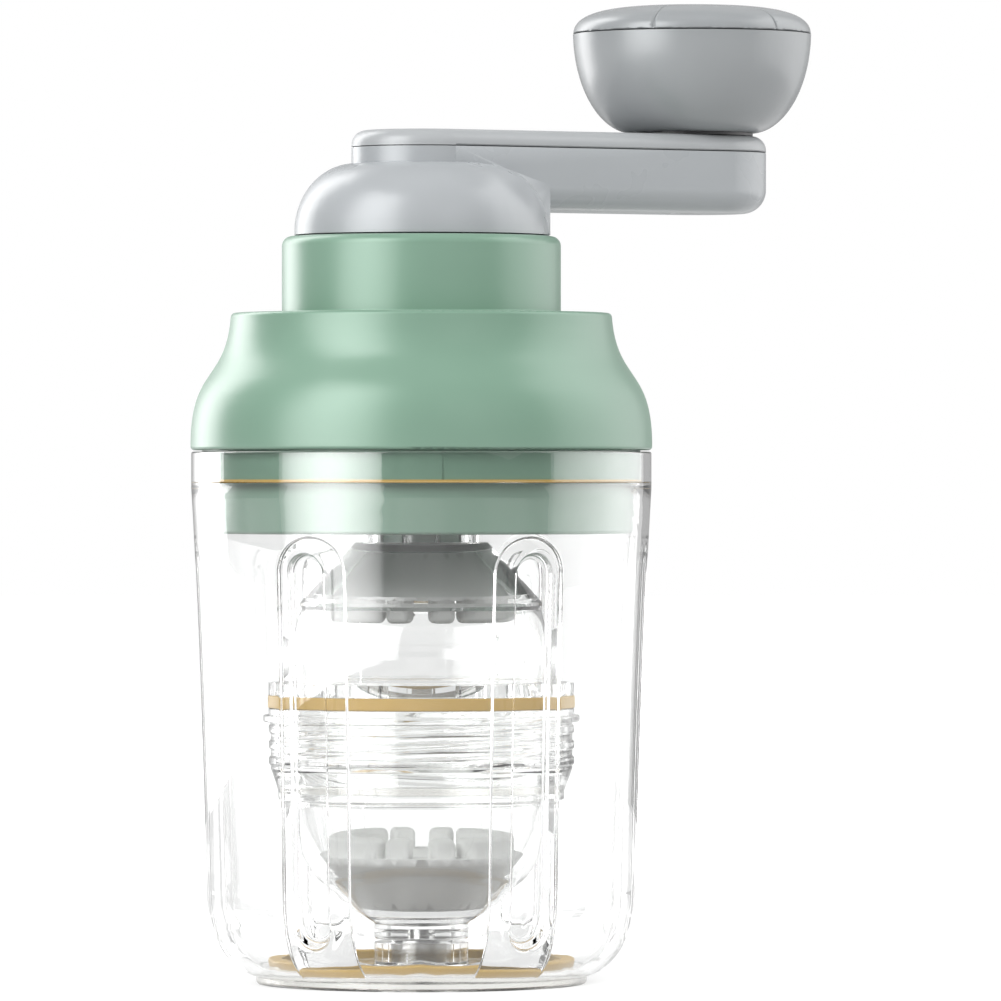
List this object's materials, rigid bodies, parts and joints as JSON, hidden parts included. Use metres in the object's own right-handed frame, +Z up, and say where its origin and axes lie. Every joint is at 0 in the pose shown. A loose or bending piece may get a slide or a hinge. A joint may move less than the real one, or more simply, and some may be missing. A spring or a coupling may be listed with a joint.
{
  "type": "egg spinner",
  "caption": "Hand cranked egg spinner: a geared crank in the lid spins a screw-together egg capsule on a bearing inside a clear fluted jar.",
  "frame": {"origin": "centre of the foot ring's flat underside, on the axis of jar, capsule and gears", "axes": "+Z up along the jar's axis, -Y towards the picture's camera, +X to the picture's right; the crank arm rests 30 degrees from +X towards +Y"},
  "size_m": [0.1307, 0.1065, 0.2055],
  "materials": {
    "clear_plastic": "clear polished plastic",
    "green_plastic": "soft sheen sage green moulding",
    "grey_plastic": "soft sheen pale grey moulding",
    "dome_plastic": "soft sheen light grey moulding",
    "gold_silicone": "gold silicone",
    "grey_silicone": "matte grey silicone",
    "foot_silicone": "translucent white silicone",
    "steel": "ground steel",
    "gear_plastic": "natural white gear plastic",
    "bush_plastic": "black bearing plastic"
  },
  "bodies": {
    "jar": {"jar_body": "clear_plastic", "foot_ring": "foot_silicone", "floor_ring": "gold_silicone", "lid_gasket": "gold_silicone", "bearing_outer_race": "steel"},
    "spindle": {"bearing_inner_race": "steel"},
    "cage": {"bearing_cage": "steel", "bearing_balls": "steel"},
    "lid": {"lid_shell": "green_plastic", "lid_insert": "green_plastic", "lid_screws": "steel", "screw_plugs": "green_plastic", "ring_gear": "gear_plastic", "gearbox_floor": "bush_plastic", "gearbox_screws": "steel", "upper_shaft_bush": "bush_plastic", "lower_shaft_bush": "bush_plastic", "hub_bush": "bush_plastic"},
    "crank": {"crank_body": "dome_plastic", "arm_cover": "grey_plastic", "planet_carrier": "steel", "planet_pins": "steel", "hub_screw": "steel", "knob_axle": "steel", "knob_screw": "steel", "knob_washer": "bush_plastic"},
    "planet_1": {"planet_gear_1": "gear_plastic"},
    "planet_2": {"planet_gear_2": "gear_plastic"},
    "planet_3": {"planet_gear_3": "gear_plastic"},
    "output": {"sun_gear": "gear_plastic", "output_shaft": "steel", "drive_dog": "green_plastic", "shaft_clip": "steel"},
    "knob": {"knob_bowl": "grey_plastic", "knob_cap": "grey_plastic", "knob_bush": "bush_plastic"},
    "capsule_top": {"capsule_upper": "clear_plastic", "upper_egg_seat": "grey_silicone"},
    "seal": {"seal_ring": "gold_silicone"},
    "capsule_bottom": {"capsule_lower": "clear_plastic", "lower_egg_seat": "grey_silicone", "inner_seal": "foot_silicone", "spindle_pin": "steel"}
  },
  "joints": [
    {"name": "lid_lift", "type": "slide", "parent": "jar", "child": "lid", "axis": [0, 0, 1], "range_m": [0, 0.16]},
    {"name": "crank_turn", "type": "hinge", "parent": "lid", "child": "crank", "pos_m": [0, 0, 0.154], "axis": [0, 0, 1], "continuous": true},
    {"name": "knob_spin", "type": "hinge", "parent": "crank", "child": "knob", "pos_m": [0.05716, 0.033, 0.178], "axis": [0, 0, 1], "continuous": true},
    {"name": "output_spin", "type": "hinge", "parent": "lid", "child": "output", "pos_m": [0, 0, 0.12], "axis": [0, 0, 1], "continuous": true},
    {"name": "spindle_spin", "type": "hinge", "parent": "jar", "child": "spindle", "pos_m": [0, 0, 0.0067], "axis": [0, 0, 1], "continuous": true},
    {"name": "cage_spin", "type": "hinge", "parent": "jar", "child": "cage", "pos_m": [0, 0, 0.0067], "axis": [0, 0, 1], "continuous": true},
    {"name": "capsule_lift", "type": "slide", "parent": "spindle", "child": "capsule_top", "axis": [0, 0, 1], "range_m": [0, 0.1312]},
    {"name": "seal_drop", "type": "slide", "parent": "capsule_top", "child": "seal", "axis": [0, 0, 1], "range_m": [-0.0192, 0]},
    {"name": "capsule_unscrew", "type": "hinge", "parent": "seal", "child": "capsule_bottom", "pos_m": [0, 0, 0.05], "axis": [0, 0, 1], "range_deg": [-699.18, 0]},
    {"name": "planet_1_spin", "type": "hinge", "parent": "crank", "child": "planet_1", "pos_m": [0.0132, 0, 0.145], "axis": [0, 0, 1], "continuous": true},
    {"name": "planet_2_spin", "type": "hinge", "parent": "crank", "child": "planet_2", "pos_m": [-0.0066, 0.01143, 0.145], "axis": [0, 0, 1], "continuous": true},
    {"name": "planet_3_spin", "type": "hinge", "parent": "crank", "child": "planet_3", "pos_m": [-0.0066, -0.01143, 0.145], "axis": [0, 0, 1], "continuous": true}
  ],
  "couplings": [
    {"joint": "output_spin", "follows": "crank_turn", "ratio": 5.5},
    {"joint": "spindle_spin", "follows": "crank_turn", "ratio": 5.5},
    {"joint": "cage_spin", "follows": "crank_turn", "ratio": 2.1029},
    {"joint": "planet_1_spin", "follows": "crank_turn", "ratio": -2.5714},
    {"joint": "planet_2_spin", "follows": "crank_turn", "ratio": -2.5714},
    {"joint": "planet_3_spin", "follows": "crank_turn", "ratio": -2.5714},
    {"joint": "capsule_lift", "follows": "lid_lift", "ratio": 0.82},
    {"joint": "seal_drop", "follows": "lid_lift", "ratio": -0.12},
    {"joint": "capsule_unscrew", "follows": "lid_lift", "rad_per_m": -76.16}
  ]
}
